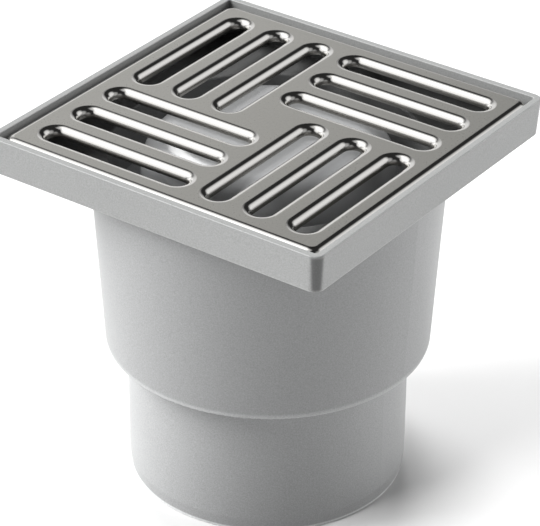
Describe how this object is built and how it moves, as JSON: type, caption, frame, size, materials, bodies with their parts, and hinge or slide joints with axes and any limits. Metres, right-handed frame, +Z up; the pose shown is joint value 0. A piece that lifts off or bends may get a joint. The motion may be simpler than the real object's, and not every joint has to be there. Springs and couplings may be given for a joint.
{
  "type": "gully trap",
  "caption": "Square floor gully trap: pressed steel grate in a plastic frame over a round trap body with a bell water seal and a vertical pipe spigot.",
  "frame": {"origin": "on the axis of the spigot, at its foot", "axes": "+Z up along the spigot's axis to the grate, X and Y along the sides of the square frame"},
  "size_m": [0.15, 0.15, 0.1525],
  "materials": {
    "frame_plastic": "smooth moulded grey polypropylene, soft sheen",
    "body_plastic": "smooth moulded grey polypropylene, soft sheen",
    "seal_rubber": "black moulded rubber",
    "bell_plastic": "smooth white moulded polypropylene",
    "grate_steel": "fine satin face with polished rolled edges"
  },
  "bodies": {
    "root": {"top_frame": "frame_plastic", "trap_body": "body_plastic", "seal_ring": "seal_rubber", "bell": "bell_plastic", "grate": "grate_steel"}
  },
  "joints": []
}
